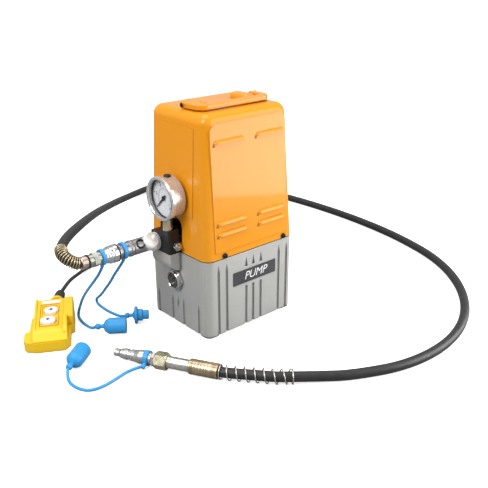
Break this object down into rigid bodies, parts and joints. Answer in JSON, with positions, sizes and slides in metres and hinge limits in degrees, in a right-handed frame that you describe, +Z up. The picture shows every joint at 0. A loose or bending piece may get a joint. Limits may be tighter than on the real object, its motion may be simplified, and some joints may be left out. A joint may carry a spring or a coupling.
{
  "type": "electric hydraulic power unit",
  "caption": "Portable electric hydraulic pump with orange motor cover, oil tank, side gauge, quick coupler with hose and tethered caps, and a wired push-button pendant.",
  "frame": {"origin": "on the floor under the middle of the oil tank", "axes": "+X to the right along the front face, +Y to the back, +Z up; the gauge and the outlet are on the -X side"},
  "size_m": [0.7968, 0.9356, 0.3526],
  "materials": {
    "tank_aluminium": "satin cast",
    "gasket_rubber": "matte",
    "steel_plate": "satin",
    "screw_black": "blackened",
    "cover_orange": "semi-gloss",
    "label_grey": "satin",
    "bright_steel": "polished",
    "lens_clear": "clear",
    "sight_amber": "clear",
    "manifold_black": "satin",
    "case_black": "satin",
    "dial_white": "matte",
    "needle_black": "matte",
    "brass": "satin",
    "coupler_grey": "satin",
    "zinc_steel": "zinc plated",
    "yellow_zinc": "yellow zinc plated",
    "spring_steel": "bright",
    "blue_rubber": "satin",
    "hose_rubber": "matte",
    "electrical_steel": "satin",
    "copper": "enamelled",
    "cast_frame": "cast",
    "black_plastic": "matte",
    "pendant_yellow": "satin",
    "button_white": "satin",
    "cable_black": "satin"
  },
  "bodies": {
    "unit": {"oil_tank": "tank_aluminium", "tank_gasket": "gasket_rubber", "pump_plate": "steel_plate", "socket_screws": "screw_black", "motor_cover": "cover_orange", "cover_screws": "screw_black", "label_plate": "label_grey", "sight_glass_body": "bright_steel", "sight_glass_lens": "sight_amber", "tank_plugs": "zinc_steel", "manifold_block": "manifold_black", "gauge_case": "case_black", "gauge_bezel": "bright_steel", "gauge_dial": "dial_white", "gauge_lens": "lens_clear", "gauge_socket": "brass", "outlet_collar": "bright_steel", "coupler_body": "coupler_grey", "coupler_spring": "spring_steel", "tether_rings": "blue_rubber", "hose_nipple_pump_end": "yellow_zinc", "hose_ferrule_pump_end": "bright_steel", "hose": "hose_rubber", "hose_guard_pump_end": "spring_steel", "hose_ferrule_tool_end": "brass", "hose_shank_tool_end": "zinc_steel", "hose_nut_tool_end": "yellow_zinc", "hose_nipple_tool_end": "zinc_steel", "hose_spring_tool_end": "spring_steel", "dust_plug_tether": "blue_rubber", "dust_cap_tether": "blue_rubber", "nipple_cap_tether": "blue_rubber", "dust_cap_hose_end": "blue_rubber", "nipple_cap": "blue_rubber", "dust_plug": "blue_rubber", "handle_mounts": "cover_orange", "motor_stator": "electrical_steel", "motor_windings": "copper", "motor_frame": "cast_frame", "motor_bearings": "bright_steel", "pump_body": "cast_frame", "pump_pistons": "bright_steel", "suction_strainer": "steel_plate", "solenoid_valve": "black_plastic", "control_box": "black_plastic", "cable_glands": "black_plastic", "pendant_cable": "cable_black", "pendant_cable_coil": "cable_black", "pendant_cover": "pendant_yellow", "pendant_base": "pendant_yellow", "pendant_boot": "cable_black"},
    "motor_rotor": {"motor_shaft": "bright_steel", "rotor": "electrical_steel", "cooling_fan": "black_plastic"},
    "gauge_pointer": {"gauge_needle": "needle_black"},
    "relief_screw": {"relief_valve_screw": "zinc_steel"},
    "locking_sleeve": {"coupler_sleeve": "bright_steel"},
    "carrying_handle": {"handle": "cover_orange"},
    "up_button": {"pendant_button_up": "button_white"},
    "down_button": {"pendant_button_down": "button_white"}
  },
  "joints": [
    {"name": "motor_spin", "type": "hinge", "parent": "unit", "child": "motor_rotor", "pos_m": [0, 0, 0.2], "axis": [0, 0, 1], "continuous": true},
    {"name": "gauge_pointer_turn", "type": "hinge", "parent": "unit", "child": "gauge_pointer", "pos_m": [-0.1, 0.0015, 0.2165], "axis": [1, 0, 0], "range_deg": [0, 270], "stiffness_Nm_per_rad": 0.002},
    {"name": "relief_screw_turn", "type": "hinge", "parent": "unit", "child": "relief_screw", "pos_m": [-0.0975, -0.01, 0.1405], "axis": [0, -1, 0], "range_deg": [-720, 720]},
    {"name": "sleeve_slide", "type": "slide", "parent": "unit", "child": "locking_sleeve", "axis": [1, 0, 0], "range_m": [0, 0.0035], "stiffness_N_per_m": 1500, "deforming": ["coupler_spring"]},
    {"name": "handle_fold", "type": "hinge", "parent": "unit", "child": "carrying_handle", "pos_m": [0, 0, 0.3484], "axis": [-1, 0, 0], "range_deg": [0, 90]},
    {"name": "up_press", "type": "slide", "parent": "unit", "child": "up_button", "axis": [0, 0, -1], "range_m": [0, 0.0015], "stiffness_N_per_m": 600},
    {"name": "down_press", "type": "slide", "parent": "unit", "child": "down_button", "axis": [0, 0, -1], "range_m": [0, 0.0015], "stiffness_N_per_m": 600}
  ]
}
